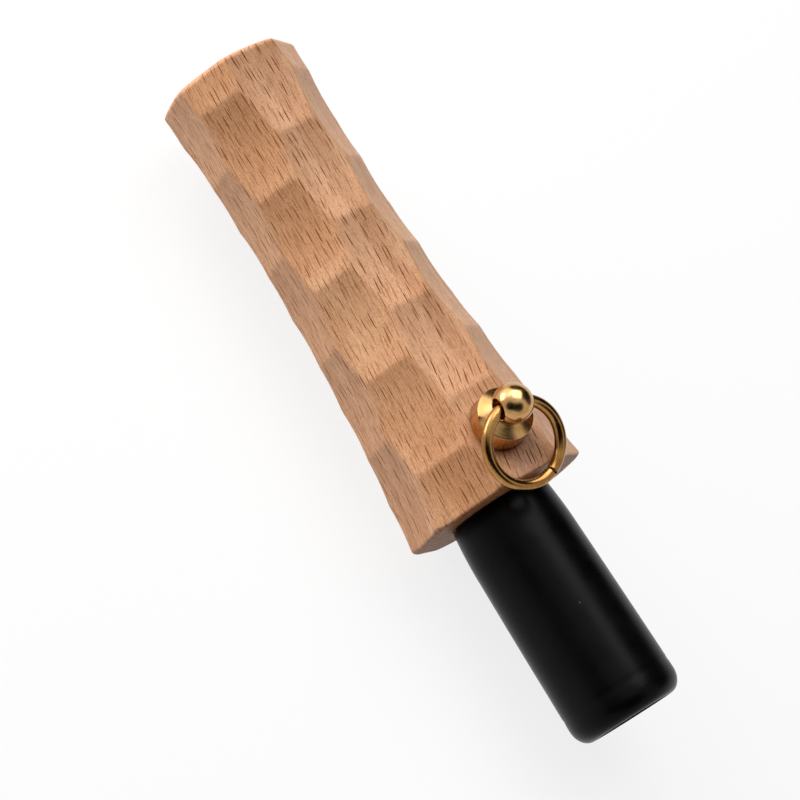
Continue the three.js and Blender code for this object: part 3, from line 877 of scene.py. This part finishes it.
def make_stud(material):
    made = on_stud("brass_stud", stud_outline(), stud_segments)
    thread = [(-cutter_overshoot, 0), (-cutter_overshoot, screw_hole_radius)]
    thread += [(screw_hole_depth, screw_hole_radius), (screw_hole_depth, 0)]
    cut(made, on_stud("thread_cutter", thread, cutter_segments))
    cut(made, ring_hole_cutter())
    smooth(made, stud_sharp_angle)
    place(made, material, "barrel", "brass", "ring_stud")


def wire_bending(material):
    """Geometry nodes that bend a round wire into a ring that is left open at its join."""
    sizes = {"Ring radius": ring_radius, "Wire radius": ring_wire_radius, "Join gap": ring_join_gap}
    tree, start = rule_tree("Wire ring", sizes)
    radius = start.outputs["Ring radius"]
    half_gap = add(tree, "ShaderNodeMath", {0: start.outputs["Join gap"], 1: 2}, operation="DIVIDE")
    half_angle = add(tree, "ShaderNodeMath", {0: half_gap, 1: radius}, operation="DIVIDE")
    join = math.radians(ring_join_angle)
    first = add(tree, "ShaderNodeMath", {0: half_angle, 1: join}, operation="ADD")
    sweep = {0: half_angle, 1: -2, 2: 2 * math.pi}
    sweep = add(tree, "ShaderNodeMath", sweep, operation="MULTIPLY_ADD")
    bend = {"Resolution": ring_steps, "Radius": radius, "Start Angle": first, "Sweep Angle": sweep}
    bend = add(tree, "GeometryNodeCurveArc", bend, mode="RADIUS")
    section = {"Resolution": wire_segments, "Radius": start.outputs["Wire radius"]}
    section = add(tree, "GeometryNodeCurvePrimitiveCircle", section, mode="RADIUS")
    wire = {"Curve": bend, "Profile Curve": section, "Fill Caps": True}
    wire = add(tree, "GeometryNodeCurveToMesh", wire)
    close_tree(tree, wire, material)
    return tree, sizes


def make_ring(material):
    made = mesh_object("wire_ring", bmesh.new())
    tree, sizes = wire_bending(material)
    apply_tree(made, tree, sizes)
    mesh = bmesh.new()
    mesh.from_mesh(made.data)
    bmesh.ops.remove_doubles(mesh, verts=mesh.verts, dist=merge_distance)
    ends = [edge for edge in mesh.edges if edge.calc_face_angle(0) > math.radians(ring_end_angle)]
    # A profile of 0.5 is round
    rounding = {"offset": ring_end_bevel, "segments": ring_bevel_steps, "profile": 0.5}
    bmesh.ops.bevel(mesh, geom=ends, affect="EDGES", **rounding)
    bmesh.ops.recalc_face_normals(mesh, faces=mesh.faces)
    mesh.to_mesh(made.data)
    mesh.free()
    # The ring's curve sags in the straight hole, so half of that is shared out
    sag_in_hole = ring_radius - math.sqrt(ring_radius**2 - ring_hole_reach**2)
    hung = hole_frame @ Matrix.Rotation(math.radians(ring_slope), 4, "Y")
    made.data.transform(hung @ Matrix.Translation((ring_radius - sag_in_hole / 2, 0, 0)))
    smooth(made, ring_sharp_angle)
    place(made, material, "ring", "ring_brass", "split_ring")


# Floor, light and camera

floor_half_size = 2.5
# How much of the plain white of the background the floor shows; the rest keeps the whistle's shadow
floor_white_share = 0.82
fill_strength = 0.05

# What shiny surfaces see of the room: each place's direction, the angles in degrees from it where
# its own brightness is full and where it ends, and its share of the room's brightness
room_brightness = 0.75
room_places = (
    ((0.2, -0.76, 0.61), 18, 30, 0.03),
    ((0.47, -0.5, 0.73), 16, 28, 0.1),
    ((0.68, -0.12, 0.72), 18, 30, 0.03),
    ((-0.2, 0.8, 0.566), 26, 38, 0.03),
    ((-0.62, 0.72, 0.31), 22, 36, 0.1),
    ((0.15, 0.93, 0.33), 22, 34, 0.1),
    ((-0.6, 0.0, 0.8), 10, 26, 1.5),
    ((-0.9, -0.17, 0.4), 20, 34, 2.8),
)

# Lamps: place, width and height in metres, power in watts, and whether shiny surfaces see it.
# The key is near, which makes the far end lighter than the mouth end, and the room's brightest
# place stands for its reflection, which then doesn't burn out on the brass
lamp_target = Vector((0, 0, 0.02))
lamps = {
    "key": ((-0.744, -0.08, 0.28), 0.6, 0.5, 9.6, False),
    "left_fill": ((-1.28, -0.912, 0.32), 0.9, 0.6, 8, True),
    "right_fill": ((-0.64, 0.48, 1.376), 1.3, 1.3, 16.5, True),
}

# The camera's place and turn lay the model over the photograph, with its lens
camera_lens = 127.26
camera_sensor = 36
camera_nearest = 0.01
camera_farthest = 20
camera_place = (0.07466, -0.23557, 0.42812)
camera_turn = (23.646, -19.795, 55.822)


def make_floor():
    mesh = bmesh.new()
    bmesh.ops.create_grid(mesh, x_segments=1, y_segments=1, size=floor_half_size)
    made = mesh_object("floor", mesh)
    material = bpy.data.materials.new("pale_floor")
    material.use_nodes = True
    tree = material.node_tree
    tree.nodes.clear()
    matt = add(tree, "ShaderNodeBsdfDiffuse", {"Color": srgb("#f4f4f4")})
    plain = add(tree, "ShaderNodeEmission", {"Color": srgb("#ffffff"), "Strength": 1})
    path = add(tree, "ShaderNodeLightPath").outputs
    rays = {0: path["Is Camera Ray"], 1: path["Is Glossy Ray"]}
    seen = add(tree, "ShaderNodeMath", rays, operation="MAXIMUM")
    rays = {0: seen, 1: path["Is Transmission Ray"]}
    seen = add(tree, "ShaderNodeMath", rays, operation="MAXIMUM")
    share = add(tree, "ShaderNodeMath", {0: seen, 1: floor_white_share}, operation="MULTIPLY")
    mixed = add(tree, "ShaderNodeMixShader", {0: share, 1: matt, 2: plain})
    add(tree, "ShaderNodeOutputMaterial", {"Surface": mixed})
    made.data.materials.append(material)


def make_world():
    """White behind the object; shiny surfaces see a pale room with dark and bright places in it."""
    world = bpy.data.worlds.new("studio")
    world.use_nodes = True
    tree = world.node_tree
    tree.nodes.clear()
    fill = add(tree, "ShaderNodeBackground", {"Color": srgb("#fbf6f2"), "Strength": fill_strength})
    white = add(tree, "ShaderNodeBackground", {"Color": srgb("#ffffff"), "Strength": 1})
    direction = add(tree, "ShaderNodeTexCoord").outputs["Generated"]
    brightness = room_brightness
    for way, full_angle, end_angle, share in room_places:
        toward = add(tree, "ShaderNodeVectorMath", {0: direction, 1: way}, operation="DOT_PRODUCT")
        full, end = (math.cos(math.radians(angle)) for angle in (full_angle, end_angle))
        step = {"Value": toward, "From Min": end, "From Max": full, "To Min": 1, "To Max": share}
        lit = add(tree, "ShaderNodeMapRange", step, interpolation_type="SMOOTHSTEP")
        brightness = add(tree, "ShaderNodeMath", {0: brightness, 1: lit}, operation="MULTIPLY")
    room = add(tree, "ShaderNodeBackground", {"Color": srgb("#fffefc"), "Strength": brightness})
    path = add(tree, "ShaderNodeLightPath").outputs
    mirrored = add(tree, "ShaderNodeMixShader", {0: path["Is Glossy Ray"], 1: fill, 2: room})
    rays = {0: path["Is Camera Ray"], 1: path["Is Transmission Ray"]}
    seen = add(tree, "ShaderNodeMath", rays, operation="MAXIMUM")
    mixed = add(tree, "ShaderNodeMixShader", {0: seen, 1: mirrored, 2: white})
    add(tree, "ShaderNodeOutputWorld", {"Surface": mixed})
    bpy.context.scene.world = world


def make_lamps():
    for name, (spot, width, height, power, mirrored) in lamps.items():
        data = bpy.data.lights.new(name, "AREA")
        data.shape = "RECTANGLE"
        data.size = width
        data.size_y = height
        data.energy = power
        made = bpy.data.objects.new(name, data)
        made.location = spot
        made.rotation_mode = "QUATERNION"
        made.rotation_quaternion = (lamp_target - made.location).to_track_quat("-Z", "Y")
        made.visible_glossy = mirrored
        bpy.context.scene.collection.objects.link(made)


def make_camera():
    data = bpy.data.cameras.new("camera")
    data.sensor_width = camera_sensor
    data.lens = camera_lens
    data.clip_start = camera_nearest
    data.clip_end = camera_farthest
    made = bpy.data.objects.new("camera", data)
    made.location = camera_place
    made.rotation_euler = [math.radians(angle) for angle in camera_turn]
    bpy.context.scene.collection.objects.link(made)
    bpy.context.scene.camera = made


make_camera()
make_world()
make_floor()
make_lamps()

make_barrel(oiled_beech())
make_mouthpiece(turned_black_plastic())
make_stud(polished_brass("polished_brass", stud_tones, stud_scratch_turn))
make_ring(polished_brass("drawn_brass", ring_tones, ring_scratch_turn))

rubber = nitrile_rubber()
inner_finishes = {
    "front_o_ring": rubber,
    "rear_o_ring": rubber,
    "tone_board": smoked_acrylic(),
    "reed": reed_film(),
    "cork_wedge": cut_cork(),
    "stud_screw": turned_steel(),
}
for node, material in inner_finishes.items():
    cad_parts[node].data.materials.clear()
    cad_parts[node].data.materials.append(material)

bpy.context.scene.view_settings.view_transform = "Standard"
